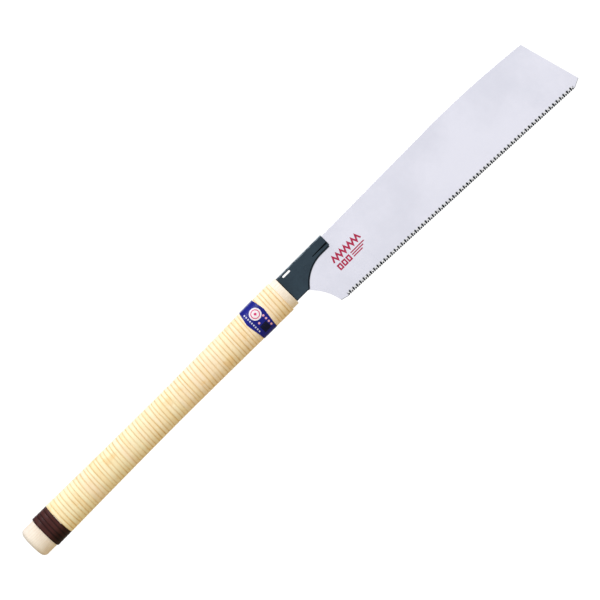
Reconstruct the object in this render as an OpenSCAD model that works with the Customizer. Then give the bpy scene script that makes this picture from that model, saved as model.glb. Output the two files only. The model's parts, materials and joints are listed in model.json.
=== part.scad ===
// Pull saw with a replaceable blade.
//
// A long oval wooden handle is bound with cane. A folded sheet steel holder stands
// in its front end and takes the blade, which hooks on a pin at its root and is
// pressed up between the holder's cheeks, so that it swings down about that pin
// when it is knocked out for changing.
//
// Frame: the origin is the middle of the handle, on its axis. +X runs along the
// handle toward the blade's toe, +Z toward the blade's spine, so the teeth point
// down, and Y is the blade's thickness. Both faces of the blade are alike.

/* [Handle] */
// Length of the wooden handle
handle_len = 348.5; // [300:0.5:400]
// Depth over the cane at the waist of the grip
grip_depth = 32.4; // [30:0.2:36]
// How much deeper the grip is where it flares toward its ends
grip_flare = 3; // [0:0.5:4]
// Thickness of the oval section, as a share of its depth
oval_share = 0.76; // [0.7:0.01:1]
// Bare wood at the butt, behind the cane
butt_bare = 17.5; // [12:0.5:40]
// Bare wood at the front, ahead of the cane
front_bare = 8; // [4:0.5:20]
// Radius around the edge of the butt
butt_round = 5; // [2:0.5:8]

/* [Cane binding] */
// Thickness of the cane strip
cane_t = 1.2; // [0.8:0.1:1.6]
// Length bound with dark cane, next to the butt
dark_len = 18.6; // [8:0.2:40]

/* [Label] */
// Length of the label where it passes over and under the handle
label_len = 17; // [10:1:30]
// How far each end of the label points out at mid height
label_point = 3; // [0:0.5:6]
// Thickness of the label
label_t = 0.3; // [0.2:0.1:0.6]
// Distance from the handle's front face to the label's middle
label_back = 39.4; // [30:0.2:80]

/* [Blade holder] */
// Thickness of the steel sheet that is folded
sheet_t = 1.2; // [1:0.1:1.5]
// Height of the folded spine above the handle's axis
spine_z = 15.4; // [14.5:0.1:16]
// Depth of the holder's lower edge below the axis
belly_z = 14.3; // [12:0.1:15]
// Distance from the handle's front face to the nose
nose_len = 60.8; // [56:0.2:70]
// Height of the nose's lower edge above the axis
nose_z = 2; // [1:0.5:4]
// Radius of the hollow under the nose
hollow_r = 40; // [38:1:42]

/* [Hook pin] */
// Radius of the pin that the blade hooks on
pin_r = 2; // [1.5:0.1:2.5]
// Distance from the handle's front face to the pin
pin_x = 28.8; // [27:0.2:30]
// Height of the pin above the axis
pin_z = 3.5; // [3:0.1:4]

/* [Blade] */
// Length of the toothed edge
tooth_len = 297; // [240:1:330]
// Thickness of the blade
blade_t = 0.7; // [0.5:0.05:0.8]
// Spacing of the teeth
tooth_pitch = 2.265; // [1.5:0.005:3]
// Height of the teeth
tooth_h = 3.4; // [1.5:0.1:4]
// Angle between the toothed edge and the handle's axis
edge_tilt = 2.45; // [0:0.05:5]

/* [Hidden] */
$fn = 48;

// Handle: stations and section
face_x = handle_len / 2;
waist_x = 10;
flare_run = 152;
flare_power = 1.5;
core_most = 33.4;
front_round = 1;
oval_sides = 24;
oval_power = 2 / 2.2;
station_step = 20;
wrap_from = -face_x + butt_bare + dark_len;
wrap_to = face_x - front_bare;
label_fit = 0.05;

// Holder: a sheet folded over the blade's spine
gap = 0.9;
holder_t = 2 * sheet_t + gap;
fold_z = spine_z - sheet_t;
fold_round = 1.2;
nose_round = 1.5;
belly_round = 1.5;
hollow_back = 12.2;
slot_x = 11;
slot_z = 11.9;
slot_len = 9.8;
slot_h = 1.95;
crease_len = 20;
crease_z = 5.8;
crease_w = 1.1;
crease_deep = 0.4;

// Tang plate: welded between the cheeks and pinned in the handle
tang_len = 80;
tang_h = 16;
tang_front = 18.2;
tang_foot = 5;
mortise_slack = 0.1;
tang_pin_r = 1.5;
tang_pin_x = [-25, -60];

// Blade: everything is placed from the handle's front face
pin_play = 0.05;
hook_r = 10;
blade_gap = 0.4;
neck = [15, -14.5];
heel = [31.1, -43.8];
heel_r = 52.5;
tooth_from = [39.5, -45.95];
crown_x = 210.5;
crown_z = 15;
crown_r = 1050;
toe_top_x = 328.7;
toe_low = [345.7, -54];
tooth_count = floor(tooth_len / tooth_pitch);

// Depth over the cane at x
function grip_at(x) = grip_depth + grip_flare * pow(abs(x - waist_x) / flare_run, flare_power);

// How far a rounded edge of radius r pulls in at distance d from the end
function pull_in(d, r) = d >= r ? 0 : r - sqrt(r * r - (r - d) * (r - d));

// Depth of the wood at x, with its end edges rounded
function core_at(x) = min(grip_at(x) - 2 * cane_t, core_most)
    - 2 * pull_in(x + face_x, butt_round) - 2 * pull_in(face_x - x, front_round);

// Stations every step from a to b, with both ends
function stations(a, b) =
    let (first = ceil((a + 1) / station_step) * station_step)
    concat([a], [for (x = [first : station_step : b - 1]) x], [b]);

// One oval ring of the given depth at x
function oval(x, depth) = [
    for (i = [0 : oval_sides - 1])
        let (c = cos(360 * i / oval_sides), s = sin(360 * i / oval_sides))
        [x,
         depth / 2 * oval_share * sign(c) * pow(abs(c), oval_power),
         depth / 2 * sign(s) * pow(abs(s), oval_power)]];

function reversed(list) = [for (i = [len(list) - 1 : -1 : 0]) list[i]];

// Points along an arc of radius r from p to q, whose centre is on the left for r > 0
function arc(p, q, r, steps) =
    let (d = q - p,
         rise = sqrt(r * r - d * d / 4),
         c = (p + q) / 2 + sign(r) * rise * [-d[1], d[0]] / norm(d),
         a = atan2(p[1] - c[1], p[0] - c[0]),
         b = atan2(q[1] - c[1], q[0] - c[0]),
         sweep = (b - a + 540) % 360 - 180)
    [for (i = [0 : steps]) c + abs(r) * [cos(a + sweep * i / steps), sin(a + sweep * i / steps)]];

// Skin through a row of rings, capped at both ends, or joined last to first
module skin(rings, looped = false) {
    n = len(rings[0]);
    m = len(rings);
    last = looped ? m - 1 : m - 2;
    sides = [
        for (j = [0 : last], i = [0 : n - 1])
            let (a = j * n + i,
                 b = j * n + (i + 1) % n,
                 c = ((j + 1) % m) * n + (i + 1) % n,
                 d = ((j + 1) % m) * n + i)
            each [[a, b, c], [a, c, d]]];
    caps = [[for (i = [n - 1 : -1 : 0]) i], [for (i = [0 : n - 1]) (m - 1) * n + i]];
    polyhedron(points = [for (ring = rings) each ring],
               faces = reverse_faces(looped ? sides : concat(sides, caps)));
}

function reverse_faces(faces) = [for (f = faces) reversed(f)];

// A sleeve of thickness t whose outside is the grip's oval, from x = a to x = b
module sleeve(a, b, t) {
    xs = stations(a, b);
    outer = [for (x = xs) oval(x, grip_at(x))];
    inner = [for (x = xs) oval(x, grip_at(x) - 2 * t)];
    skin(concat(outer, reversed(inner)), looped = true);
}

// A flat plate of thickness t in the blade's plane, measured from the handle's face
module plate(t) {
    translate([face_x, 0, 0]) rotate([90, 0, 0]) linear_extrude(height = t, center = true) children();
}

// A slot with round ends along X
module slot_2d(x, z, length, height) {
    translate([x, z]) square([length - height, height], center = true);
    for (side = [-1, 1]) translate([x + side * (length - height) / 2, z]) circle(d = height);
}

module handle_core() {
    round_steps = [0, 0.3, 1, 2.2];
    xs = concat([for (d = round_steps) d - face_x],
                stations(-face_x + butt_round, face_x - front_round),
                [face_x - front_round / 3, face_x]);
    color("bisque")
    difference() {
        skin([for (x = xs) oval(x, core_at(x))]);
        translate([face_x - tang_len - mortise_slack, -(gap + mortise_slack) / 2, -(tang_h + mortise_slack) / 2])
            cube([tang_len + 2, gap + mortise_slack, tang_h + mortise_slack]);
        tang_pin_bodies(2 * grip_depth);
    }
}

module tang_pin_bodies(length) {
    for (x = tang_pin_x)
        translate([face_x + x, 0, 0]) rotate([90, 0, 0]) cylinder(r = tang_pin_r, h = length, center = true);
}

module cane_wrap() {
    color("wheat") sleeve(wrap_from, wrap_to, cane_t);
}

module cane_end_band() {
    color("saddlebrown") sleeve(-face_x + butt_bare, wrap_from, cane_t);
}

module label_band() {
    middle = face_x - label_back;
    // One end of the label: each point follows the taper and moves along X, furthest at mid height
    end_ring = function (side, lift) [
        for (p = oval(0, 1))
            let (x = middle + side * (label_len / 2 + label_point * (1 - 2 * abs(p[2]))),
                 depth = grip_at(x) + 2 * lift)
            [x, p[1] * depth, p[2] * depth]];
    outer = label_fit + label_t;
    color("navy")
    skin([end_ring(-1, outer), end_ring(1, outer), end_ring(1, label_fit), end_ring(-1, label_fit)],
         looped = true);
}

// Where the hollow under the nose reaches height z
function hollow_at(z) = nose_len - hollow_back - sqrt(pow(hollow_r, 2) - pow(z - nose_z + hollow_r, 2));

module holder_outline() {
    above = spine_z + 2;
    turn = [hollow_at(belly_round - belly_z), belly_round - belly_z];
    polygon(concat(
        [[0, above], [0, -belly_z]],
        arc([hollow_at(-belly_z) - belly_round / 2, -belly_z], turn, 1.5 * belly_round, 4),
        arc(turn, [nose_len - hollow_back, nose_z], -hollow_r, 14),
        arc([nose_len - nose_round, nose_z], [nose_len, nose_z + nose_round], nose_round, 4),
        [[nose_len, above]]));
}

module folded_section() {
    side = holder_t / 2;
    low = -belly_z - 2;
    bend = spine_z - fold_round;
    translate([face_x - 1, 0, 0]) rotate([90, 0, 90]) linear_extrude(height = nose_len + 2)
        polygon(concat(
            [[-side, low], [side, low]],
            arc([side, bend], [side - fold_round, spine_z], fold_round, 6),
            arc([fold_round - side, spine_z], [-side, bend], fold_round, 6)));
}

module crease_2d() {
    polygon([[nose_len - crease_len, crease_z + 0.3],
             [nose_len + 1, crease_z - crease_w / 2 - 0.2],
             [nose_len + 1, crease_z + crease_w / 2 - 0.2]]);
}

module blade_holder() {
    color("darkslategray")
    difference() {
        intersection() {
            plate(holder_t + 2) holder_outline();
            folded_section();
        }
        plate(gap) translate([-1, -belly_z - 3]) square([nose_len + 3, belly_z + 3 + fold_z]);
        plate(holder_t + 2) slot_2d(slot_x, slot_z, slot_len, slot_h);
        plate(holder_t + 2) translate([pin_x, pin_z]) circle(r = pin_r);
        for (side = [-1, 1])
            translate([0, side * holder_t / 2, 0]) plate(2 * crease_deep) crease_2d();
    }
}

module tang_plate() {
    color("silver")
    difference() {
        plate(gap) polygon([
            [-tang_len, -tang_h / 2], [tang_foot, -tang_h / 2], [tang_front, pin_z],
            [tang_front, fold_z], [0, fold_z], [0, tang_h / 2], [-tang_len, tang_h / 2]]);
        plate(gap + 1) slot_2d(slot_x, slot_z, slot_len, slot_h);
        tang_pin_bodies(gap + 2);
    }
}

module tang_pins() {
    color("lightsteelblue") tang_pin_bodies(oval_share * (grip_depth - 2 * cane_t));
}

module hook_pin() {
    color("slategray") plate(holder_t) translate([pin_x, pin_z]) circle(r = pin_r);
}

// The blade's outline. Along its edge each tooth runs from its gullet to its point,
// has a short bevel behind the point and falls back to the next gullet
module blade_outline() {
    along = [cos(edge_tilt), -sin(edge_tilt)];
    down = [-sin(edge_tilt), -cos(edge_tilt)];
    tooth = [[0.03, 0], [0.26, 1], [0.66, 0.84]];
    teeth = [
        for (i = [0 : tooth_count - 1], p = tooth)
            tooth_from + (i + p[0]) * tooth_pitch * along - (1 - p[1]) * tooth_h * down];
    last = tooth_from + tooth_count * tooth_pitch * along;
    root_z = spine_z - sheet_t - blade_gap;
    toe_top = [toe_top_x, crown_z - (crown_r - sqrt(pow(crown_r, 2) - pow(toe_top_x - crown_x, 2)))];
    hook = [pin_x, pin_z] + 0.95 * hook_r * [cos(204), sin(204)];
    polygon(concat(
        arc(neck, heel, -heel_r, 12),
        teeth,
        [last, toe_low],
        reversed(arc([crown_x, crown_z], toe_top, -crown_r, 10)),
        [[nose_len, root_z], [pin_x, root_z], hook]));
}

module blade() {
    color("gainsboro")
    plate(blade_t) difference() {
        union() {
            blade_outline();
            translate([pin_x, pin_z]) circle(r = hook_r);
        }
        translate([pin_x, pin_z]) circle(r = pin_r + pin_play);
        translate([pin_x - pin_r - pin_play, pin_z]) square([2 * (pin_r + pin_play), hook_r + 2]);
    }
}

handle_core();
cane_wrap();
cane_end_band();
label_band();
blade_holder();
tang_plate();
tang_pins();
hook_pin();
blade();
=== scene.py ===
# %% [markdown]
# # A pull saw: wound cane, bare wood, painted sheet steel and a thin toothed blade
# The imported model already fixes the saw's sizes, its bodies and the pin that the blade swings on. This
# lesson gives that frame its looks, one piece and one finish at a time. Everything is in metres: +X runs
# along the handle toward the toe of the blade, +Z is the spine side, and Y is the blade's thickness.

# %% Load the frame
import json
import math

import bmesh
import bpy
from mathutils import Matrix, Vector


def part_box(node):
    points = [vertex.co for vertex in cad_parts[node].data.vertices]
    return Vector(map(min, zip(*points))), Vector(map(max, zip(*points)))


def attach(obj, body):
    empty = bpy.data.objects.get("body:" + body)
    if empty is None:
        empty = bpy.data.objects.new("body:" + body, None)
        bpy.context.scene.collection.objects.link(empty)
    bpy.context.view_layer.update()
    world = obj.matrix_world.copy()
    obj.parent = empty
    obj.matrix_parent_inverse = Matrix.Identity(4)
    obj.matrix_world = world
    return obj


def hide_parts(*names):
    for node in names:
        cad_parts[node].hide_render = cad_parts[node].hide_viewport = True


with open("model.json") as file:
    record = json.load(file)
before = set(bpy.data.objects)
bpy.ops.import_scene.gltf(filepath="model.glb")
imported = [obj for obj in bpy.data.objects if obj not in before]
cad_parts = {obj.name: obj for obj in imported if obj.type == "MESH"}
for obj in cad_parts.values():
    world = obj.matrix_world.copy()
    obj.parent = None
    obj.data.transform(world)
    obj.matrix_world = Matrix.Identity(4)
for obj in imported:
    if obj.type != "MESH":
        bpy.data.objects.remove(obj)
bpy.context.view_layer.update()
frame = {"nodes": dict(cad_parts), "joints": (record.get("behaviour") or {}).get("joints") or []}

MM = 0.001

# %% [markdown]
# ## Reading places from the frame
# A piece goes where the frame says. The boxes of the CAD nodes give where the handle ends, where each
# binding starts and stops, and where the holder begins, so nothing below repeats those numbers.

# %% Where things are
butt_x, face_x = (corner.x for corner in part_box("handle_core"))
dark_from, dark_to = (corner.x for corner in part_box("cane_end_band"))
cane_from, cane_to = (corner.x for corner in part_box("cane_wrap"))
label_from, label_to = (corner.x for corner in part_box("label_band"))
blade_low, blade_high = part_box("blade")
pin_at = Vector(frame["joints"][0]["pos_m"])
print(f"handle {butt_x:.4f} to {face_x:.4f}, cane {dark_from:.4f} to {cane_to:.4f}, pin at {pin_at.x:.4f}")

# %% [markdown]
# ## The shape of the grip
# The handle is an oval that is slimmest near its middle and flares toward both ends. One formula gives
# its depth at any place, and one function gives a ring of points, so the wood, the cane and the label
# all share the same surface and stay a fixed distance apart.

# %% The oval and its flare
WAIST_DEPTH = 32.4 * MM
FLARE = 3 * MM
FLARE_RUN = 152 * MM
FLARE_POWER = 1.5
WAIST_X = 10 * MM
OVAL_SHARE = 0.76
OVAL_POWER = 2 / 2.2
CANE_THICK = 1.2 * MM
WOOD_MOST = 33.4 * MM


def grip_depth(x):
    """Depth over the cane at x."""
    return WAIST_DEPTH + FLARE * (abs(x - WAIST_X) / FLARE_RUN) ** FLARE_POWER


def oval_point(x, angle, depth):
    """A point of the oval of this depth at x. Angle 0 is the far side and a quarter turn is the top."""
    c, s = math.cos(angle), math.sin(angle)
    y = math.copysign(abs(c) ** OVAL_POWER, c) * depth / 2 * OVAL_SHARE
    z = math.copysign(abs(s) ** OVAL_POWER, s) * depth / 2
    return Vector((x, y, z))


wrap_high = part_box("cane_wrap")[1]
print(f"depth over the cane at its front end: formula {grip_depth(cane_to) / MM:.2f} mm,"
      f" frame {2 * wrap_high.z / MM:.2f} mm")

# %% [markdown]
# ## Short words for node trees
# Materials and Geometry Nodes are both made of nodes and links. A few small helpers keep every tree
# below readable. add() makes a node and fills its inputs, calc() is one step of arithmetic, mix() blends
# two colours, and the others name steps that are often wanted together. A value is either a plain number
# or another node's output.

# %% Nodes and arithmetic


def put(tree, socket, value):
    """Links an output to the socket, or sets it to a plain value."""
    if isinstance(value, bpy.types.NodeSocket):
        tree.links.new(value, socket)
    else:
        socket.default_value = value


def add(tree, kind, *values, **settings):
    """A new node. Values fill its inputs in order, settings its properties and its named inputs."""
    made = tree.nodes.new(kind)
    for key, value in settings.items():
        if key.islower():
            setattr(made, key, value)
        else:
            put(tree, made.inputs[key.replace("_", " ")], value)
    for socket, value in zip(made.inputs, values):
        put(tree, socket, value)
    return made


def calc(tree, operation, *values, clamp=False):
    """One step of arithmetic on numbers."""
    return add(tree, "ShaderNodeMath", *values, operation=operation, use_clamp=clamp).outputs[0]


def product(tree, first, *others):
    """Several numbers multiplied together."""
    for other in others:
        first = calc(tree, "MULTIPLY", first, other)
    return first


def apart(tree, first, second):
    """How far apart two numbers are."""
    return calc(tree, "ABSOLUTE", calc(tree, "SUBTRACT", first, second))


def distance(tree, across, up):
    """The length of a flat offset."""
    return calc(tree, "SQRT", calc(tree, "ADD", product(tree, across, across), product(tree, up, up)))


def spread(tree, value, low, high, to_low=0.0, to_high=1.0):
    """The value moved from one range to another and held inside it, with soft ends."""
    made = add(tree, "ShaderNodeMapRange", value, low, high, to_low, to_high,
               interpolation_type="SMOOTHSTEP")
    return made.outputs[0]


print("arithmetic:", [helper.__name__ for helper in (add, calc, product, apart, distance, spread)])

# %% Colours, vectors and noise


def mix(tree, factor, first, second, blend="MIX"):
    """Two colours blended."""
    made = add(tree, "ShaderNodeMix", data_type="RGBA", blend_type=blend)
    for socket, value in zip((made.inputs[0], made.inputs[6], made.inputs[7]), (factor, first, second)):
        put(tree, socket, (*value, 1.0) if isinstance(value, tuple) and len(value) == 3 else value)
    return made.outputs[2]


def vector(tree, x=0.0, y=0.0, z=0.0):
    """Three numbers as a vector."""
    return add(tree, "ShaderNodeCombineXYZ", x, y, z).outputs[0]


def xyz(tree, value):
    """A vector as three numbers."""
    return add(tree, "ShaderNodeSeparateXYZ", value).outputs


def measured(tree, spot, origin, *ways):
    """How far the spot lies from the origin along each of these directions."""
    off = add(tree, "ShaderNodeVectorMath", spot, tuple(origin), operation="SUBTRACT").outputs[0]
    return [add(tree, "ShaderNodeVectorMath", off, tuple(way), operation="DOT_PRODUCT").outputs["Value"]
            for way in ways]


def noise(tree, where, scale, detail=3.0, roughness=0.5):
    """Smooth noise from 0 to 1."""
    made = add(tree, "ShaderNodeTexNoise", Vector=where, Scale=scale, Detail=detail, Roughness=roughness)
    return made.outputs["Fac"]


print("colour and place:", [helper.__name__ for helper in (mix, vector, xyz, measured, noise)])

# %% [markdown]
# ## Effects that several finishes share
# Fibres, soft clouds and worn edges turn up in more than one material, so each is a node group with
# named inputs, built once. A group gives out only a mask or a value that changes over the surface, and
# the shader itself stays in the material.

# %% Make a group and place it


def effect(name, inputs, output):
    """An empty shader group with number or vector inputs and one number as its output."""
    tree = bpy.data.node_groups.new(name, "ShaderNodeTree")
    for label, default in inputs.items():
        kind = "NodeSocketVector" if isinstance(default, tuple) else "NodeSocketFloat"
        tree.interface.new_socket(label, in_out="INPUT", socket_type=kind).default_value = default
    tree.interface.new_socket(output, in_out="OUTPUT", socket_type="NodeSocketFloat")
    return tree, add(tree, "NodeGroupInput").outputs, add(tree, "NodeGroupOutput").inputs


def use(tree, group, **settings):
    """Places a shared group in a tree and gives back its output."""
    made = tree.nodes.new("ShaderNodeGroup")
    made.node_tree = group
    for key, value in settings.items():
        put(tree, made.inputs[key], value)
    return made.outputs[0]


print("for groups:", [helper.__name__ for helper in (effect, use)])

# %% Fibres, clouds and rubbed edges
MOTTLE_FINER = 9.0

# Fibres: noise drawn out along the vector's X
fibre_group, given, taken = effect(
    "fibres", {"Vector": (0, 0, 0), "Along": 100.0, "Across": 3000.0}, "Fibre")
stretched = zip(xyz(fibre_group, given["Vector"]), ("Along", "Across", "Across"))
drawn = vector(fibre_group, *(product(fibre_group, part, given[scale]) for part, scale in stretched))
put(fibre_group, taken[0], spread(fibre_group, noise(fibre_group, drawn, 1.0, 4.0, 0.6), 0.3, 0.7))

# Clouds: large soft patches with a little fine mottling over them
cloud_group, given, taken = effect("clouds", {"Vector": (0, 0, 0), "Scale": 20.0, "Mottle": 0.3}, "Cloud")
large = noise(cloud_group, given["Vector"], given["Scale"], 2.0)
fine = noise(cloud_group, given["Vector"], product(cloud_group, given["Scale"], MOTTLE_FINER), 3.0)
weighed = calc(cloud_group, "ADD", large, product(cloud_group, fine, given["Mottle"]))
share = calc(cloud_group, "DIVIDE", weighed, calc(cloud_group, "ADD", given["Mottle"], 1.0))
put(cloud_group, taken[0], spread(cloud_group, share, 0.35, 0.65))

# Rubbed edges: a mask from the piece's "edge" attribute, broken up by noise
rub_group, given, taken = effect("rubbed_edges", {"Vector": (0, 0, 0), "Edge": 0.0, "Amount": 0.5}, "Rub")
broken = noise(rub_group, given["Vector"], 420.0, 4.0, 0.6)
bare = calc(rub_group, "ADD", calc(rub_group, "SUBTRACT", broken, 1.0), given["Amount"])
put(rub_group, taken[0], product(rub_group, spread(rub_group, bare, -0.05, 0.1), given["Edge"]))
print("shared groups:", [group.name for group in (fibre_group, cloud_group, rub_group)])

# %% A new material, ready for its finish


def finish(name, **settings):
    """A material with a Principled shader whose plain settings are on its own sockets."""
    material = bpy.data.materials.new(name)
    material.use_nodes = True
    tree = material.node_tree
    shader = tree.nodes["Principled BSDF"]
    for key, value in settings.items():
        shader.inputs[key.replace("_", " ")].default_value = value
    return material, tree, shader.inputs


def bump(tree, height, strength, distance):
    """A normal from a height."""
    return add(tree, "ShaderNodeBump", Strength=strength, Distance=distance, Height=height).outputs[0]


def attribute(tree, name):
    """A number stored on the piece."""
    return add(tree, "ShaderNodeAttribute", attribute_name=name).outputs["Fac"]


def place(tree):
    """Where the shaded point is on the saw, in metres."""
    return add(tree, "ShaderNodeTexCoord").outputs["Object"]


print("for finishes:", [helper.__name__ for helper in (finish, bump, attribute, place)])

# %% [markdown]
# ## Cane
# Split cane is the glossy skin of rattan. Its colour drifts along the strip, so neighbouring turns
# differ, some lengths are honey brown, and fine fibres run along it. The pattern therefore follows two
# numbers stored on the strip itself: how far along it a point is, and how far across. Each strip is
# darker toward its two edges, which is painted shade between the turns. The dark binding is the same
# cane, stained, and it is also darker toward its underside, which is painted shade.

# %% The two cane finishes
STRIP_WIDE = 4.4 * MM
ROSIER_PER_METRE = 0.8
# Painted shade on the underside: the colour is multiplied by this tint from the first height down to the
# second.
UNDERSIDE_SHADE_FROM, UNDERSIDE_SHADE_TO = -3 * MM, -14 * MM
UNDERSIDE_SHADE_TINT = (0.2, 0.2, 0.2)


def cane_finish(name, pale, rosy, honey, patch, seam, sheen, underside_shade):
    """Cane in five colours: two common ones, its honey lengths, its patches, and one for its fibres and the
    painted shade toward its seams; its underside can be darkened as painted shade.
    """
    material, tree, shader = finish(name, Coat_Weight=sheen, Coat_Roughness=0.25, Specular_IOR_Level=0.12)
    along, across = attribute(tree, "along"), attribute(tree, "across")
    spot = place(tree)
    part = xyz(tree, spot)

    # From region to region, from length to length, and in patches
    region = noise(tree, vector(tree, part[0]), 26.0, 3.0, 0.6)
    region = calc(tree, "MULTIPLY_ADD", part[0], ROSIER_PER_METRE, region)
    colour = mix(tree, spread(tree, region, 0.40, 0.60), pale, rosy)
    drift = noise(tree, vector(tree, along), 9.0, 3.0, 0.65)
    colour = mix(tree, spread(tree, drift, 0.42, 0.72, 0.0, 0.8), colour, honey)
    patches = noise(tree, spot, 75.0, 2.0)
    colour = mix(tree, spread(tree, patches, 0.58, 0.74, 0.0, 0.6), colour, patch)

    # Across the strip: its fibres, and painted shade toward its seams, which is deeper in some lengths than
    # in others
    strip = vector(tree, along, product(tree, across, STRIP_WIDE))
    fibre = use(tree, fibre_group, Vector=strip, Along=60.0, Across=5200.0)
    colour = mix(tree, spread(tree, fibre, 0.1, 1.0, 0.0, 0.16), colour, seam)
    uneven = spread(tree, noise(tree, vector(tree, along), 22.0, 2.0), 0.35, 0.65, 0.35, 1.0)
    side = calc(tree, "ABSOLUTE", across)
    painted_seam_shade = product(tree, spread(tree, side, 0.20, 0.5, 0.0, 0.95), uneven)
    colour = mix(tree, painted_seam_shade, colour, seam)

    # Painted shade: the binding is darkened toward its underside.
    underside = spread(tree, part[2], UNDERSIDE_SHADE_FROM, UNDERSIDE_SHADE_TO, 0.0, underside_shade)
    colour = mix(tree, underside, colour, UNDERSIDE_SHADE_TINT, "MULTIPLY")
    put(tree, shader["Base Color"], colour)
    put(tree, shader["Roughness"], spread(tree, fibre, 0.0, 1.0, 0.40, 0.55))
    put(tree, shader["Normal"], bump(tree, fibre, 0.3, 0.05 * MM))
    return material


cane = cane_finish(
    "split_cane", pale=(0.95, 0.87, 0.59), rosy=(0.97, 0.83, 0.62), honey=(0.92, 0.74, 0.42),
    patch=(0.90, 0.62, 0.28), seam=(0.74, 0.50, 0.19), sheen=0.05, underside_shade=0.0)
dark_cane = cane_finish(
    "stained_cane", pale=(0.062, 0.016, 0.014), rosy=(0.075, 0.023, 0.020), honey=(0.034, 0.006, 0.006),
    patch=(0.100, 0.036, 0.028), seam=(0.004, 0.001, 0.001), sheen=0.06, underside_shade=0.8)
print("cane finishes:", cane.name, dark_cane.name)

# %% [markdown]
# ## Bare wood
# The two bare ends are pale softwood, sanded and left unfinished. Its grain runs along the handle, and
# the flat butt shows the rings in section. The rings are circles round a pith that lies outside the
# oval, so they come out as shallow arcs on the butt and as faint stripes along the sides.

# %% The bare wood finish
PITH = Vector((0, 30 * MM, -52 * MM))
RINGS_PER_METRE = 620

bare_wood, tree, shader = finish("bare_softwood", Specular_IOR_Level=0.3)
spot = place(tree)
part = xyz(tree, spot)
wander = noise(tree, vector(tree, product(tree, part[0], 0.1), part[1], part[2]), 60.0, 2.0)
radius = distance(tree, calc(tree, "SUBTRACT", part[1], PITH.y), calc(tree, "SUBTRACT", part[2], PITH.z))
rings_out = calc(tree, "ADD", product(tree, radius, RINGS_PER_METRE), wander)
late = spread(tree, calc(tree, "FRACT", rings_out), 0.55, 0.98)
colour = mix(tree, product(tree, late, 0.45), (0.90, 0.83, 0.72), (0.78, 0.66, 0.50))
pores = use(tree, fibre_group, Vector=spot, Along=90.0, Across=3800.0)
colour = mix(tree, spread(tree, pores, 0.4, 1.0, 0.0, 0.3), colour, (0.72, 0.60, 0.46))
cloud = use(tree, cloud_group, Vector=spot, Scale=45.0, Mottle=0.4)
colour = mix(tree, cloud, colour, (0.93, 0.88, 0.85), "MULTIPLY")
put(tree, shader["Base Color"], colour)
put(tree, shader["Roughness"], spread(tree, pores, 0.0, 1.0, 0.55, 0.72))
put(tree, shader["Normal"], bump(tree, pores, 0.3, 0.08 * MM))
print("wood finish:", bare_wood.name)

# %% [markdown]
# ## Painted sheet steel
# The holder is baked enamel over folded sheet, dark slate and satin. What makes it read as paint is a
# slight orange-peel in its surface and the paint rubbed thin on its edges, which the rubbed_edges group
# finds from an attribute that marks the narrow edge faces. The nose is stiffened by a pressed crease,
# and painted shade darkens the paint in it. Narrow darker lines are painted where the cheeks meet the
# wood and along the belly under them, and painted shade runs along the edge of the hollow where the blade
# comes out. That edge is an arc followed by a straight, so a mask along it is worked out from the two.

# %% Follow the edge of the hollow
NOSE_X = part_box("blade_holder")[1].x
HOLLOW_R = 40 * MM
HOLLOW_TOP = 2 * MM
HOLLOW_X = NOSE_X - 12.2 * MM
HOLLOW_TO = NOSE_X - 1.2 * MM
BELLY_Z = -14.3 * MM


def hollow_line(tree, spot, outer, inner):
    """A mask along the hollow edge, from 0 at the outer depth below the edge to 1 at the inner one."""
    part = xyz(tree, spot)
    dx = calc(tree, "SUBTRACT", part[0], HOLLOW_X)
    reach = distance(tree, dx, calc(tree, "SUBTRACT", part[2], HOLLOW_TOP - HOLLOW_R))
    under_arc = calc(tree, "SUBTRACT", HOLLOW_R, reach)
    under_nose = calc(tree, "SUBTRACT", HOLLOW_TOP, part[2])
    on_arc = calc(tree, "LESS_THAN", dx, 0.0)
    depth = calc(tree, "ADD", product(tree, on_arc, under_arc),
                 product(tree, calc(tree, "SUBTRACT", 1.0, on_arc), under_nose))
    return product(tree, spread(tree, depth, outer, inner), calc(tree, "LESS_THAN", part[0], HOLLOW_TO),
                   calc(tree, "GREATER_THAN", part[2], BELLY_Z - 0.3 * MM))


print(f"the hollow's arc, {HOLLOW_R / MM:.0f} mm in radius, meets its straight at x {HOLLOW_X / MM:.1f} mm")

# %% The holder's paint
CREASE_FROM = NOSE_X - 20 * MM
CREASE_Z = 5.9 * MM
CREASE_HALF, CREASE_HALF_AT_NOSE = 0.45 * MM, 0.9 * MM

holder_paint, tree, shader = finish("slate_enamel")
spot = place(tree)
part = xyz(tree, spot)
cloud = use(tree, cloud_group, Vector=spot, Scale=60.0, Mottle=0.5)
colour = mix(tree, cloud, (0.0085, 0.025, 0.042), (0.0145, 0.035, 0.055))
rub = use(tree, rub_group, Vector=spot, Edge=attribute(tree, "edge"), Amount=0.55)
colour = mix(tree, rub, colour, (0.16, 0.21, 0.25))
# Painted shade: the crease and a strip just above the hollow edge are darkened as shade, and narrow lines at
# the wood and along the belly are darkened too.
half_wide = spread(tree, part[0], CREASE_FROM, NOSE_X, CREASE_HALF, CREASE_HALF_AT_NOSE)
shade_and_dark_lines = product(tree, calc(tree, "LESS_THAN", apart(tree, part[2], CREASE_Z), half_wide),
                calc(tree, "GREATER_THAN", part[0], CREASE_FROM))
for line in (spread(tree, part[0], face_x + 1.1 * MM, face_x + 0.5 * MM),
             spread(tree, part[2], BELLY_Z + 1.0 * MM, BELLY_Z + 0.5 * MM),
             hollow_line(tree, spot, -0.8 * MM, -0.35 * MM)):
    shade_and_dark_lines = calc(tree, "MAXIMUM", shade_and_dark_lines, line)
colour = mix(tree, shade_and_dark_lines, colour, (0.002, 0.004, 0.006))
put(tree, shader["Base Color"], colour)
put(tree, shader["Specular IOR Level"], spread(tree, shade_and_dark_lines, 0.0, 1.0, 0.3, 0.03))
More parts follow.
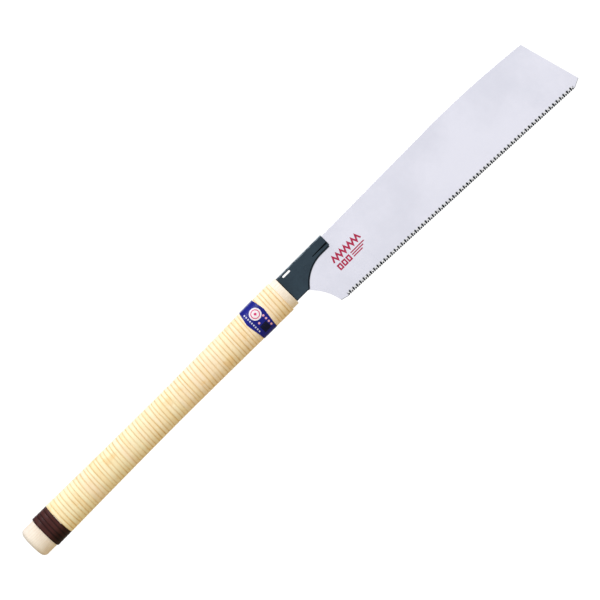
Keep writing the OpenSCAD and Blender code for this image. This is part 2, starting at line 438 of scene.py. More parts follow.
put(tree, shader["Roughness"], spread(tree, cloud, 0.0, 1.0, 0.40, 0.50))
put(tree, shader["Normal"], bump(tree, noise(tree, spot, 1400.0, 2.0), 0.12, 0.05 * MM))
print("paint finish:", holder_paint.name)

# %% [markdown]
# ## Blade steel
# The blade is ground, lightly plated and satin. Soft clouds drift over it, and very fine scratches run
# along it. The tooth points are hardened by a short burst of heat, which leaves a blue-black line along
# the edge. On each side every second tooth shows its flat, dark face and the one between shows its bright
# ground bevel, so the heat line climbs and falls from tooth to tooth. Thin dark lines lie along the two
# short edges without teeth, and a painted shadow lies along the blade just under the holder's hollow edge.

# %% Where the toothed edge runs
EDGE_TILT = math.radians(2.45)
TOOTH_HIGH = 3.4 * MM
TOOTH_PITCH = 2.265 * MM
TOOTH_COUNT = 131
TOOTHED = TOOTH_COUNT * TOOTH_PITCH
HEEL = Vector((face_x + 31.1 * MM, 0, -43.8 * MM))
TIPS_FROM = Vector((face_x + 39.5 * MM, 0, -45.95 * MM))
TOE_LOW = Vector((blade_high.x, 0, -54 * MM))
edge_along = Vector((math.cos(EDGE_TILT), 0, -math.sin(EDGE_TILT)))
edge_up = Vector((math.sin(EDGE_TILT), 0, math.cos(EDGE_TILT)))
TIPS_TO = TIPS_FROM + TOOTHED * edge_along
print(f"{TOOTH_COUNT} teeth in {TOOTHED / MM:.1f} mm, down to z {TIPS_TO.z / MM:.1f} mm")

# %% The heat line and the dark rims
HEAT_HIGH = 4.5 * MM
HEAT_CLIMB = 2.8 * MM
HEAT_SHIFT = 0.5
HEAT_RAGGED = 0.6 * MM


def heat_marks(tree, spot):
    """How strongly the heat has darkened the steel, and the height above the line of tooth tips."""
    height, run = measured(tree, spot, TIPS_FROM, edge_up, edge_along)
    far_side = calc(tree, "GREATER_THAN", xyz(tree, spot)[1], 0.0)
    tooth = calc(tree, "ADD", calc(tree, "DIVIDE", run, TOOTH_PITCH), far_side)
    climb = calc(tree, "PINGPONG", calc(tree, "ADD", tooth, HEAT_SHIFT), 1.0)
    ragged = product(tree, noise(tree, spot, 500.0, 2.0), HEAT_RAGGED)
    level = calc(tree, "ADD", calc(tree, "ADD", height, ragged), product(tree, climb, HEAT_CLIMB))
    heat = spread(tree, level, HEAT_HIGH + 0.5 * MM, HEAT_HIGH - 0.3 * MM)
    from_middle = apart(tree, run, TOOTHED / 2)
    toothed = spread(tree, from_middle, TOOTHED / 2 + 0.6 * MM, TOOTHED / 2 - 0.4 * MM)
    uneven = spread(tree, attribute(tree, "tint"), 0.0, 1.0, 1.0, 0.95)
    return product(tree, heat, toothed, uneven), height


def rim_line(tree, spot, start, end):
    """A narrow mask inside the straight, untoothed edge from start to end."""
    along = (end - start).normalized()
    deep, run = measured(tree, spot, start, Vector((-along.z, 0, along.x)), along)
    return product(tree, spread(tree, deep, 0.5 * MM, 0.25 * MM), calc(tree, "GREATER_THAN", run, 0.0),
                   calc(tree, "LESS_THAN", run, (end - start).length))


print(f"heat line {(HEAT_HIGH - HEAT_CLIMB) / MM:.1f} to {HEAT_HIGH / MM:.1f} mm above the tips")

# %% The steel finishes


def steel_finish(name, is_blade):
    """Satin steel. The blade also has its heat marks, bright ground bevels, thin dark lines and a painted
    shadow under the holder's edge.
    """
    material, tree, shader = finish(name, Metallic=1.0)
    spot = place(tree)
    cloud = use(tree, cloud_group, Vector=spot, Scale=14.0, Mottle=0.25)
    scratch = use(tree, fibre_group, Vector=spot, Along=25.0, Across=5200.0)
    colour = mix(tree, cloud, (0.650, 0.657, 0.740), (0.712, 0.717, 0.802))
    rough = calc(tree, "ADD", spread(tree, cloud, 0.0, 1.0, 0.36, 0.42), product(tree, scratch, 0.05))
    if is_blade:
        heat, height = heat_marks(tree, spot)
        ground = product(tree, attribute(tree, "ground"), spread(tree, height, 1.5 * MM, 2.3 * MM))
        heat = product(tree, heat, calc(tree, "SUBTRACT", 1.0, ground))
        colour = mix(tree, heat, colour, (0.012, 0.017, 0.020))
        colour = mix(tree, ground, colour, (0.93, 0.95, 0.97))
        # The first mask is a painted shadow just under the holder's hollow edge; the other two are thin dark
        # lines along the untoothed edges.
        for line in (hollow_line(tree, spot, 1.4 * MM, 0.7 * MM), rim_line(tree, spot, HEEL, TIPS_FROM),
                     rim_line(tree, spot, TIPS_TO, TOE_LOW)):
            colour = mix(tree, line, colour, (0.02, 0.03, 0.04))
        rough = calc(tree, "ADD", rough, product(tree, heat, 0.06))
    put(tree, shader["Base Color"], colour)
    put(tree, shader["Roughness"], rough)
    put(tree, shader["Normal"], bump(tree, scratch, 0.06, 0.03 * MM))
    return material


blade_steel = steel_finish("satin_blade_steel", is_blade=True)
tang_steel = steel_finish("plated_tang_steel", is_blade=False)
print("steel finishes:", blade_steel.name, tang_steel.name)

# %% [markdown]
# ## Making meshes
# Most pieces here are skins through rings of points, or flat plates cut to an outline. loft() makes the
# first kind. plate() makes the second from a filled 2D curve, because such a curve cuts its own holes
# and rounds its own edges; it is turned into a mesh before it is stood up in the blade's plane.

# %% Objects and their meshes


def new_object(name, data):
    """An object for this data, linked into the scene."""
    made = bpy.data.objects.new(name, data)
    bpy.context.scene.collection.objects.link(made)
    return made


def new_piece(name, mesh, material):
    """An object for a finished mesh in one material."""
    mesh.materials.clear()
    mesh.materials.append(material)
    return new_object(name, mesh)


def settled(piece):
    """The piece as a plain mesh, with its modifiers applied and gone."""
    bpy.context.view_layer.update()
    graph = bpy.context.evaluated_depsgraph_get()
    mesh = bpy.data.meshes.new_from_object(piece.evaluated_get(graph), depsgraph=graph)
    made = new_object(piece.name + "_settled", mesh)
    name = piece.name
    bpy.data.objects.remove(piece)
    made.name = name
    return made


def shade(mesh, sharp_above=35.0):
    """Smooth shading, with edges sharper than this many degrees left crisp."""
    mesh.shade_smooth()
    mesh.set_sharp_from_angle(angle=math.radians(sharp_above))


def report(piece):
    """Prints what was made."""
    shape = bmesh.new()
    shape.from_mesh(piece.data)
    faces = sum(len(f.verts) - 2 for f in shape.faces)
    loose = sum(1 for e in shape.edges if len(e.link_faces) != 2)
    volume = shape.calc_volume(signed=True) / MM**3
    shape.free()
    print(f"{piece.name}: {faces} triangles, {loose} open edges, {volume:.0f} mm3")


print("for every piece:", [helper.__name__ for helper in (new_object, new_piece, settled, shade, report)])

# %% A skin through rings


def closed_mesh(name, shape):
    """The built shape as a mesh, with its faces turned outwards."""
    bmesh.ops.recalc_face_normals(shape, faces=shape.faces)
    mesh = bpy.data.meshes.new(name)
    shape.to_mesh(mesh)
    shape.free()
    return mesh


def loft(name, rings, material, looped=False):
    """A closed skin through rings of points, capped at its ends or joined last to first."""
    shape = bmesh.new()
    rows = [[shape.verts.new(p) for p in ring] for ring in rings]
    pairs = list(zip(rows, rows[1:])) + ([(rows[-1], rows[0])] if looped else [])
    for row, following in pairs:
        for i in range(len(row)):
            j = (i + 1) % len(row)
            shape.faces.new((row[i], row[j], following[j], following[i]))
    if not looped:
        shape.faces.new(reversed(rows[0]))
        shape.faces.new(rows[-1])
    mesh = closed_mesh(name, shape)
    shade(mesh)
    return new_piece(name, mesh, material)


print("for skins:", [helper.__name__ for helper in (closed_mesh, loft)])

# %% A plate cut to an outline


def plate(name, outlines, thickness, round_edge, material, y=0.0):
    """A flat plate in the blade's plane, cut to outlines of (x, z) points, with slightly rounded edges."""
    curve = bpy.data.curves.new(name, "CURVE")
    curve.dimensions, curve.fill_mode = "2D", "BOTH"
    curve.extrude = thickness / 2 - round_edge
    curve.bevel_depth, curve.bevel_resolution, curve.offset = round_edge, 1, -round_edge
    for outline in outlines:
        spline = curve.splines.new("POLY")
        spline.points.add(len(outline) - 1)
        for point, (x, z) in zip(spline.points, outline):
            point.co = (x, z, 0, 1)
        spline.use_cyclic_u = True
    flat = settled(new_object(name, curve))
    flat.data.transform(Matrix.Translation((0, y, 0)) @ Matrix.Rotation(math.pi / 2, 4, "X"))
    shape = bmesh.new()
    shape.from_mesh(flat.data)
    bpy.data.objects.remove(flat)
    bmesh.ops.remove_doubles(shape, verts=shape.verts, dist=1e-7)
    mesh = closed_mesh(name, shape)
    shade(mesh, 12.0)
    return new_piece(name, mesh, material)


def arc(start, end, radius, steps):
    """Points of an arc in the (x, z) plane, whose centre is on the left of start to end for radius > 0."""
    start, end = Vector(start), Vector(end)
    along = end - start
    rise = math.sqrt(radius * radius - along.length_squared / 4)
    centre = (start + end) / 2 + math.copysign(rise, radius) * Vector((-along.y, along.x)).normalized()
    a = math.atan2(start.y - centre.y, start.x - centre.x)
    b = math.atan2(end.y - centre.y, end.x - centre.x)
    sweep = (b - a + math.pi) % math.tau - math.pi
    spots = [a + sweep * i / steps for i in range(steps + 1)]
    return [centre + abs(radius) * Vector((math.cos(t), math.sin(t))) for t in spots]


print("for plates:", [helper.__name__ for helper in (plate, arc)])

# %% [markdown]
# ## The wooden handle
# One length of wood, shaped to the oval. Under the cane it is thinner by one strip all round, the butt
# has a generous round to its edge and the front a small one. It is lofted through rings: close together
# round the two edges, and evenly spaced between them.

# %% Loft the handle
BUTT_ROUND = 5 * MM
FRONT_ROUND = 1 * MM
WOOD_SIDES = 96
EDGE_STEPS = 7
RING_STEP = 8 * MM


def pull_in(from_end, radius):
    """How far a rounded edge has pulled in at this distance from the end."""
    left = max(radius - from_end, 0)
    return radius - math.sqrt(radius * radius - left * left)


def wood_depth(x):
    """Depth of the bare wood at x."""
    depth = min(grip_depth(x) - 2 * CANE_THICK, WOOD_MOST)
    return depth - 2 * pull_in(x - butt_x, BUTT_ROUND) - 2 * pull_in(face_x - x, FRONT_ROUND)


def eased(radius):
    """Distances from an end that follow a quarter circle evenly."""
    return [radius * (1 - math.cos(math.pi / 2 * i / EDGE_STEPS)) for i in range(EDGE_STEPS + 1)]


straight = face_x - FRONT_ROUND - (butt_x + BUTT_ROUND)
places = [butt_x + d for d in eased(BUTT_ROUND)]
places += [butt_x + BUTT_ROUND + (i + 1) * RING_STEP for i in range(int(straight / RING_STEP))]
places += [face_x - d for d in reversed(eased(FRONT_ROUND))]
rings = [[oval_point(x, math.tau * i / WOOD_SIDES, wood_depth(x)) for i in range(WOOD_SIDES)]
         for x in places]
handle_wood = loft("handle_wood", rings, bare_wood)
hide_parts("handle_core")
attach(handle_wood, "handle")
report(handle_wood)

# %% [markdown]
# ## Winding the cane
# A binding is one strip wound round and round, so a path that climbs the handle is the honest way to
# make it, and Geometry Nodes can work the path out. A line of points is bent onto the oval, each point a
# little further along than the last. A low domed profile is swept along it with its back to the wood,
# and the distances along and across the strip are stored for the cane's finish. The strip is pared to a
# taper over its first and last turns, so that each binding finishes square, and the light strip starts
# where the dark one stops.

# %% Steps that both trees of this lesson take


def geometry_tree(name, inputs):
    """A Geometry Nodes tree with these named inputs, and the outputs that bring them in."""
    tree = bpy.data.node_groups.new(name, "GeometryNodeTree")
    tree.interface.new_socket("Geometry", in_out="OUTPUT", socket_type="NodeSocketGeometry")
    for label, kind in inputs.items():
        tree.interface.new_socket(label, in_out="INPUT", socket_type="NodeSocket" + kind)
    return tree, add(tree, "NodeGroupInput").outputs


def close_tree(tree, geometry, material):
    """Ends a tree: its instances are made real and its finish is set."""
    real = add(tree, "GeometryNodeRealizeInstances", Geometry=geometry).outputs[0]
    done = add(tree, "GeometryNodeSetMaterial", Geometry=real, Material=material).outputs[0]
    add(tree, "NodeGroupOutput", done)


def run_tree(name, tree, settings):
    """A plain mesh object from a Geometry Nodes tree with these inputs."""
    piece = new_object(name, bpy.data.meshes.new(name))
    modifier = piece.modifiers.new("nodes", "NODES")
    modifier.node_group = tree
    for item in tree.interface.items_tree:
        if item.in_out == "INPUT":
            modifier[item.identifier] = settings[item.name]
    return settled(piece)


def stored(tree, geometry, label, value, domain="POINT"):
    """The geometry with a number stored on it."""
    return add(tree, "GeometryNodeStoreNamedAttribute", data_type="FLOAT", domain=domain,
               Geometry=geometry, Name=label, Value=value).outputs[0]


def number_at(tree, label):
    """A number stored on the geometry."""
    return add(tree, "GeometryNodeInputNamedAttribute", data_type="FLOAT", Name=label).outputs[0]


def moved(tree, geometry, x, y, z):
    """The geometry with its points at these places."""
    return add(tree, "GeometryNodeSetPosition", Geometry=geometry, Position=vector(tree, x, y, z)).outputs[0]


def point_xyz(tree):
    """Where each point is, as three numbers."""
    return xyz(tree, add(tree, "GeometryNodeInputPosition").outputs[0])


def signed_power(tree, value, power):
    """The value's size raised to a power, with its sign kept."""
    size = calc(tree, "POWER", calc(tree, "ABSOLUTE", value), power)
    return product(tree, calc(tree, "SIGN", value), size)


print("tree steps:", [step.__name__ for step in (geometry_tree, stored, moved, close_tree, run_tree)])

# %% The strip's path and its profile
PATH_STEPS = 60
TAPER_STEPS = 27
PROFILE_POINTS = 9
CROWN_POWER = 0.30
SIDE_POWER = 0.50


def climbing_path(tree, given):
    """A curve that climbs the grip turn by turn, one strip's thickness below its surface."""
    count = calc(tree, "MULTIPLY_ADD", given["Turns"], PATH_STEPS, 2 * TAPER_STEPS + 1)
    step = calc(tree, "SUBTRACT", add(tree, "GeometryNodeInputIndex").outputs[0], TAPER_STEPS)
    turn = calc(tree, "DIVIDE", step, PATH_STEPS)
    angle = product(tree, turn, -math.tau)
    x = calc(tree, "ADD", given["Start"], product(tree, turn, given["Pitch"]))
    from_waist = calc(tree, "DIVIDE", apart(tree, x, WAIST_X), FLARE_RUN)
    flared = product(tree, given["Flare"], calc(tree, "POWER", from_waist, FLARE_POWER))
    half = product(tree, calc(tree, "ADD", given["Waist Depth"], flared), 0.5)
    deep = calc(tree, "SUBTRACT", product(tree, half, OVAL_SHARE), given["Thickness"])
    high = calc(tree, "SUBTRACT", half, given["Thickness"])
    y = product(tree, deep, signed_power(tree, calc(tree, "COSINE", angle), OVAL_POWER))
    z = product(tree, high, signed_power(tree, calc(tree, "SINE", angle), OVAL_POWER))
    bent = moved(tree, add(tree, "GeometryNodeMeshLine", Count=count).outputs[0], x, y, z)
    path = add(tree, "GeometryNodeMeshToCurve", Mesh=bent).outputs[0]
    spot = point_xyz(tree)
    outward = vector(tree, 0.0, calc(tree, "DIVIDE", spot[1], OVAL_SHARE**2), spot[2])
    path = add(tree, "GeometryNodeSetCurveNormal", mode="FREE", Curve=path, Normal=outward).outputs[0]
    gone = add(tree, "GeometryNodeSplineParameter").outputs["Length"]
    return stored(tree, stored(tree, path, "along", gone), "turn", turn)


def domed_profile(tree, given):
    """The strip's section: a low dome on a flat back, with how far across it each point is."""
    dome = add(tree, "GeometryNodeCurveArc", Resolution=PROFILE_POINTS, Radius=1.0, Start_Angle=-math.pi / 2,
               Sweep_Angle=math.pi).outputs[0]
    rim = point_xyz(tree)
    up = product(tree, given["Thickness"],
                 calc(tree, "POWER", calc(tree, "MAXIMUM", rim[0], 0.0), CROWN_POWER))
    across = product(tree, signed_power(tree, rim[1], SIDE_POWER), 0.5)
    dome = stored(tree, dome, "across", across)
    dome = moved(tree, dome, up, product(tree, across, given["Pitch"]), 0.0)
    return add(tree, "GeometryNodeSetSplineCyclic", Geometry=dome, Cyclic=True).outputs[0]


print(f"{PATH_STEPS} steps a turn, {PROFILE_POINTS} points across, {TAPER_STEPS} more steps at each end")

# %% The tree that winds a strip
SEAM_NOISE = 0.8


def seam_at(tree, given, side):
    """Where the seam behind (0) or in front (1) of the strip is. Cane varies, so the seams wander."""
    seam = calc(tree, "ADD", number_at(tree, "turn"), side)
    chance = noise(tree, vector(tree, seam, given["Seed"]), SEAM_NOISE, 2.0)
    wander = product(tree, calc(tree, "SUBTRACT", chance, 0.5), given["Wander"])
    even = calc(tree, "MULTIPLY_ADD", calc(tree, "SUBTRACT", seam, 0.5), given["Pitch"], given["Start"])
    return calc(tree, "ADD", even, wander)


def pared(tree, given, strip):
    """The strip fitted between its two seams, and cut square where the binding starts and stops."""
    stop = calc(tree, "MULTIPLY_ADD", given["Turns"], given["Pitch"], given["Start"])
    rear = calc(tree, "MAXIMUM", seam_at(tree, given, 0), given["Start"])
    front = calc(tree, "MINIMUM", calc(tree, "ADD", seam_at(tree, given, 1), given["Lap"]), stop)
    share = calc(tree, "ADD", number_at(tree, "across"), 0.5)
    fitted = calc(tree, "MULTIPLY_ADD", share, calc(tree, "SUBTRACT", front, rear), rear)
    spot = point_xyz(tree)
    return moved(tree, strip, fitted, spot[1], spot[2])


def winding_tree():
    """A Geometry Nodes tree that winds a domed strip onto the grip."""
    tree, given = geometry_tree("wound_strip", {
        "Start": "Float", "Pitch": "Float", "Turns": "Int", "Lap": "Float", "Wander": "Float",
        "Seed": "Float", "Thickness": "Float", "Waist Depth": "Float", "Flare": "Float",
        "Finish": "Material"})
    strip = add(tree, "GeometryNodeCurveToMesh", Curve=climbing_path(tree, given),
                Profile_Curve=domed_profile(tree, given), Fill_Caps=True).outputs[0]
    close_tree(tree, pared(tree, given, strip), given["Finish"])
    return tree


wound_strip = winding_tree()
print("winding tree:", len(wound_strip.nodes), "nodes")

# %% Wind the two bindings
DARK_TURNS = 4
CANE_TURNS = 69
STRIP_LAP = 0.14 * MM
SEAM_WANDER = 6.5 * MM
SEED_PER_METRE = 90


def wind(name, start, stop, turns, material, node):
    """One binding from start to stop, standing for its CAD sleeve. Its seed comes from its start."""
    strip = run_tree(name, wound_strip, {
        "Start": start, "Pitch": (stop - start) / turns, "Turns": turns, "Lap": STRIP_LAP,
        "Wander": SEAM_WANDER, "Seed": SEED_PER_METRE * start, "Thickness": CANE_THICK,
        "Waist Depth": WAIST_DEPTH, "Flare": FLARE, "Finish": material})
    shade(strip.data, 60.0)
    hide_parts(node)
    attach(strip, "handle")
    report(strip)


wind("dark_cane_binding", dark_from, dark_to, DARK_TURNS, dark_cane, "cane_end_band")
wind("cane_binding", cane_from, cane_to, CANE_TURNS, cane, "cane_wrap")

# %% [markdown]
# ## The label
# A printed film is wrapped round the front of the grip. Its two edges come to points at mid
# height, turned a few degrees round the handle, and it dips a little between the turns of cane beneath
# it. Its print here is a plain one: a dark panel, a pale roundel with a red ring and dot, a few pink dots
# and a row of short pale dashes.

# %% The label's film
LABEL_LIFT = 0.05 * MM
LABEL_THICK = 0.3 * MM
SOFT_EDGE = 0.12 * MM
label_x = (label_from + label_to) / 2

label_film, tree, shader = finish("printed_label_film", Coat_Weight=0.04, Coat_Roughness=0.15,
                                  Specular_IOR_Level=0.10)
spot = place(tree)
part = xyz(tree, spot)
off_x = calc(tree, "SUBTRACT", part[0], label_x)
cloud = use(tree, cloud_group, Vector=spot, Scale=70.0, Mottle=0.5)
colour = mix(tree, cloud, (0.005, 0.009, 0.19), (0.010, 0.014, 0.24))
put(tree, shader["Roughness"], spread(tree, cloud, 0.0, 1.0, 0.28, 0.38))
put(tree, shader["Normal"], bump(tree, cloud, 0.08, 0.1 * MM))


def within(value, limit):
    """A mask that is 1 where the value is under the limit, with a soft edge."""
    return spread(tree, value, limit + SOFT_EDGE, limit - SOFT_EDGE)


def distance_to(x, z):
    """How far the shaded point is from a place on the label's face."""
    return distance(tree, calc(tree, "SUBTRACT", off_x, x), calc(tree, "SUBTRACT", part[2], z))


print("label finish:", label_film.name, f"in the middle at x {label_x / MM:.1f} mm")

# %% Print the panel, the roundel and the dots
PANEL_X, PANEL_Z = (-3.6 * MM, 4.6 * MM), (-14.0 * MM, -6.2 * MM)
ROUNDEL_X, ROUNDEL_Z, ROUNDEL_R = 1.8 * MM, 5.5 * MM, 6.2 * MM
RING_R, RING_HALF, CENTRE_R = 0.68 * ROUNDEL_R, 0.45 * MM, 1.4 * MM
# Each dot's x and z, in millimetres
DOTS, DOT_R = [(-1.6, -3.4), (6.5, -0.9), (6.6, -4.6), (6.6, -8.3), (6.4, -12.0)], 1.1 * MM

off_panel = [calc(tree, "SUBTRACT", apart(tree, at, (low + high) / 2), (high - low) / 2)
             for at, (low, high) in ((off_x, PANEL_X), (part[2], PANEL_Z))]
colour = mix(tree, within(calc(tree, "MAXIMUM", *off_panel), 0.0), colour, (0.004, 0.006, 0.035))
from_roundel = distance_to(ROUNDEL_X, ROUNDEL_Z)
colour = mix(tree, within(from_roundel, ROUNDEL_R), colour, (0.80, 0.76, 0.80))
red = calc(tree, "MAXIMUM", within(apart(tree, from_roundel, RING_R), RING_HALF),
           within(from_roundel, CENTRE_R))
colour = mix(tree, red, colour, (0.62, 0.03, 0.16))
for dot_x, dot_z in DOTS:
    colour = mix(tree, within(distance_to(dot_x * MM, dot_z * MM), DOT_R), colour, (0.80, 0.42, 0.52))
print("dots:", len(DOTS))

# %% Print the row of dashes
DASH_X, DASH_HALF_WIDE = -6.8 * MM, 0.75 * MM
DASH_STEP, DASH_HALF_LONG = 2.6 * MM, 0.7 * MM
DASH_FROM, DASH_TO = -10.4 * MM, 13.0 * MM
ROW_END = 0.2 * MM

in_step = apart(tree, calc(tree, "FRACT", calc(tree, "DIVIDE", part[2], DASH_STEP)), 0.5)
in_dash = within(product(tree, in_step, DASH_STEP), DASH_HALF_LONG)
in_row = product(tree, spread(tree, part[2], DASH_FROM, DASH_FROM + ROW_END),
                 spread(tree, part[2], DASH_TO, DASH_TO - ROW_END))
dashes = product(tree, within(apart(tree, off_x, DASH_X), DASH_HALF_WIDE), in_dash, in_row)
colour = mix(tree, product(tree, dashes, 0.85), colour, (0.72, 0.74, 0.84))
put(tree, shader["Base Color"], colour)
print("dashes in the row:", round((DASH_TO - DASH_FROM) / DASH_STEP))

# %% Wrap the label
LABEL_SIDES = 120
LABEL_COLUMNS = 28
LABEL_HALF = 8.5 * MM
LABEL_POINT = (label_to - label_from) / 2 - LABEL_HALF
LABEL_DIP = 0.09 * MM
LABEL_TURN = math.radians(9)
cane_pitch = (cane_to - cane_from) / CANE_TURNS


def label_point(share, i, lift):
    """A point of the label, share running from -1 at its rear edge to 1 at its front edge."""
    angle = math.tau * i / LABEL_SIDES
    side = angle - LABEL_TURN if math.cos(angle) > 0 else math.pi - angle - LABEL_TURN
    height = abs(math.sin(side))
    x = label_x + share * (LABEL_HALF + LABEL_POINT * (1 - height))
    turn = (x - cane_from) / cane_pitch + angle / math.tau
    dip = LABEL_DIP * (1 - math.cos(math.tau * turn)) / 2 if lift > LABEL_LIFT else 0
    return oval_point(x, angle, grip_depth(x) + 2 * (lift - dip))


shares = [-1 + 2 * i / LABEL_COLUMNS for i in range(LABEL_COLUMNS + 1)]
outer = [[label_point(s, i, LABEL_LIFT + LABEL_THICK) for i in range(LABEL_SIDES)] for s in shares]
inner = [[label_point(s, i, LABEL_LIFT) for i in range(LABEL_SIDES)] for s in reversed(shares)]
label = loft("label_film", outer + inner, label_film, looped=True)
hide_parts("label_band")
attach(label, "handle")
report(label)

# %% [markdown]
# ## The folded holder
# The CAD holder has the right shape but razor edges. A copy of it is merged, its flat faces are joined
# into single ones, and a Bevel modifier breaks every corner as stamping and painting do. The narrow
# faces that the bevel makes are marked with an "edge" attribute for the paint to rub thin on.

# %% Break the holder's edges
EDGE_BREAK = 0.14 * MM
NARROW = 3.2
BREAK_ABOVE = math.radians(40)


def longest_side(mesh, face):
    """The longest side of a face."""
    corners = [mesh.vertices[i].co for i in face.vertices]
    return max((a - b).length for a, b in zip(corners, corners[1:] + corners[:1]))


def broken_edges(node, name, width, material):
    """A copy of a CAD node with its corners bevelled and the bevels marked."""
    shape = bmesh.new()
    shape.from_mesh(frame["nodes"][node].data)
    bmesh.ops.remove_doubles(shape, verts=shape.verts, dist=1e-6)
    bmesh.ops.dissolve_limit(shape, angle_limit=math.radians(0.5), verts=shape.verts, edges=shape.edges)
    mesh = bpy.data.meshes.new(name)
    shape.to_mesh(mesh)
    shape.free()
    piece = new_piece(name, mesh, material)
    bevel = piece.modifiers.new("break", "BEVEL")
    bevel.width, bevel.segments = width, 2
    bevel.limit_method, bevel.angle_limit = "ANGLE", BREAK_ABOVE
    piece = settled(piece)
    marks = piece.data.attributes.new("edge", "FLOAT", "FACE")
    thin = [1.0 if face.area < NARROW * width * longest_side(piece.data, face) else 0.0
            for face in piece.data.polygons]
    marks.data.foreach_set("value", thin)
    shade(piece.data, 12.0)
    return piece


holder = broken_edges("blade_holder", "folded_holder", EDGE_BREAK, holder_paint)
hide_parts("blade_holder")
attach(holder, "handle")
report(holder)

# %% [markdown]
# ## The blade
# The blade is a plate cut to one outline. Its spine runs straight and then falls away in a long arc
# toward the toe, its heel is a hollow arc that meets the holder's lower corner, and its hidden root is a
# round hook with a slot that drops over the pin. The toothed edge is left straight at the gullets: the
# teeth are made next and stand on it.

# %% Cut the blade
BLADE_THICK = blade_high.y - blade_low.y
BLADE_ROUND = 0.06 * MM
NECK = (face_x + 15 * MM, -14.5 * MM)
HEEL_R, HEEL_STEPS = 52.5 * MM, 28
HOOK_R, HOOK_STEPS = 10 * MM, 16
HOOK_ANGLE = math.radians(204)
PIN_SLOT_R = 2.05 * MM
ROOT_Z = 13.8 * MM
CROWN = (face_x + 210.5 * MM, blade_high.z)
CROWN_R, CROWN_STEPS = 1050 * MM, 40
TOE_TOP_X = face_x + 328.7 * MM

gullet = TOOTH_HIGH * edge_up
toe_top = (TOE_TOP_X, CROWN[1] - (CROWN_R - math.sqrt(CROWN_R**2 - (TOE_TOP_X - CROWN[0]) ** 2)))
slot_left, slot_right = pin_at.x - PIN_SLOT_R, pin_at.x + PIN_SLOT_R
slot_top = pin_at.z + math.sqrt(HOOK_R**2 - PIN_SLOT_R**2)
hook_start = (pin_at.x + HOOK_R * math.cos(HOOK_ANGLE), pin_at.z + HOOK_R * math.sin(HOOK_ANGLE))
# The round end of the slot is half a turn, so a hair's difference in height settles which half it is
slot_floor = arc((slot_left, pin_at.z), (slot_right, pin_at.z - 1e-7), PIN_SLOT_R, HOOK_STEPS)

outline = arc(NECK, HEEL.xz, -HEEL_R, HEEL_STEPS)
outline += [TIPS_FROM.xz, (TIPS_FROM + gullet).xz, (TIPS_TO + gullet).xz, TIPS_TO.xz, TOE_LOW.xz]
outline += reversed(arc(CROWN, toe_top, -CROWN_R, CROWN_STEPS))
outline += [(NOSE_X, ROOT_Z), (slot_right, ROOT_Z)]
outline += reversed(slot_floor)
outline += arc((slot_left, slot_top), hook_start, HOOK_R, HOOK_STEPS)
blade = plate("saw_blade", [outline], BLADE_THICK, BLADE_ROUND, blade_steel)
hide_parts("blade")
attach(blade, "blade")
report(blade)

# %% [markdown]
# ## The teeth
# Every tooth is the same small shape. Its bevels are ground from one side, so that side is narrow and
# bright and the other is flat, and the tooth is bent a little toward its flat side. The next one is its
# mirror image. Instances suit that exactly: two tooth meshes, one line of points along the edge, and the
# point's number picks left or right. The mirrored tooth is modelled as its own mesh, because an instance
# with a negative scale would be inside out.

# %% Two teeth
TOOTH_SET = 0.13 * MM
TOOTH_SHAPE = [(0.0, 0.0), (0.12, 1.0), (0.82, 0.90), (1.0, 0.0)]
BEVEL_SHAPE = [(0.36, 0.0), (0.40, 0.90), (0.47, 0.88), (0.58, 0.0)]
SUNK, SUNK_SHARE = 0.12 * MM, 0.96


def tooth_mesh(name, side):
    """One tooth, its flat face on this side, standing down from its gullet line at the origin."""
    shape = bmesh.new()
    half = BLADE_THICK / 2

    def row(points, y):
        """The corners of one face of the tooth, leaning with the set."""
        return [shape.verts.new((a * TOOTH_PITCH, y + side * TOOTH_SET * h, -h * TOOTH_HIGH))
                for a, h in points]

    flat, ground_side = row(TOOTH_SHAPE, side * half), row(BEVEL_SHAPE, -side * half)
    rim = [flat[0], flat[3], ground_side[3], ground_side[0]]
    sunk = [shape.verts.new((v.co.x, SUNK_SHARE * v.co.y, SUNK)) for v in rim]
    ground = shape.faces.layers.float.new("ground")
    shape.faces.new(flat)
    shape.faces.new(reversed(ground_side))
    for i in range(3):
        corners = (flat[i + 1], flat[i], ground_side[i], ground_side[i + 1])
        shape.faces.new(corners)[ground] = 1.0
    for i in range(4):
        j = (i + 1) % 4
        shape.faces.new((rim[i], rim[j], sunk[j], sunk[i]))
    shape.faces.new(sunk)
    return closed_mesh(name, shape)


left_tooth = new_object("left_tooth", tooth_mesh("left_tooth", -1))
right_tooth = new_object("right_tooth", tooth_mesh("right_tooth", 1))
print("tooth faces:", len(left_tooth.data.polygons))

# %% Set them along the edge


